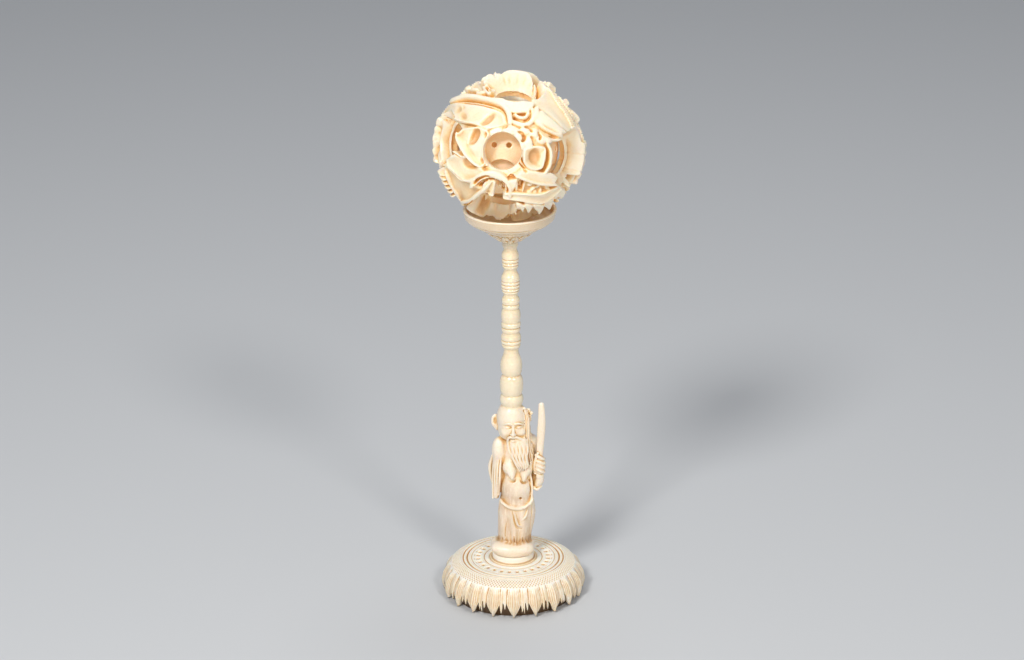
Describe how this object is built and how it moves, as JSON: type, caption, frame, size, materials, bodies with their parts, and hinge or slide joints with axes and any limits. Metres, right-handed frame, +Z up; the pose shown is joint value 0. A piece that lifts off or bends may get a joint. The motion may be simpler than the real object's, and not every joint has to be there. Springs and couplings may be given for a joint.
{
  "type": "carved puzzle ball on a figure stand",
  "caption": "Carved ball of loose nested shells, seated in a turned cup on a slender stem that stands on the head of an old man on a round leaf-fringed base.",
  "frame": {"origin": "centre of the base's underside, on the surface that it stands on", "axes": "+Z up along the stem, -Y towards the front of the figure, +X to the viewer's right"},
  "size_m": [0.0594, 0.059, 0.2192],
  "materials": {
    "base_ivory": "carved ivory, satin, with brown in the cuts",
    "figure_ivory": "carved ivory, satin, with light brown age in the folds",
    "turned_ivory": "turned ivory, soft polish",
    "carved_ivory": "deeply carved ivory, soft polish, warm where it is thin",
    "inner_ivory": "ivory turned from inside, fine tool rings"
  },
  "bodies": {
    "root": {"base": "base_ivory", "figure": "figure_ivory", "stem": "turned_ivory", "cup": "turned_ivory", "outer_shell": "carved_ivory", "middle_shell": "inner_ivory", "inner_ball": "inner_ivory"}
  },
  "joints": []
}
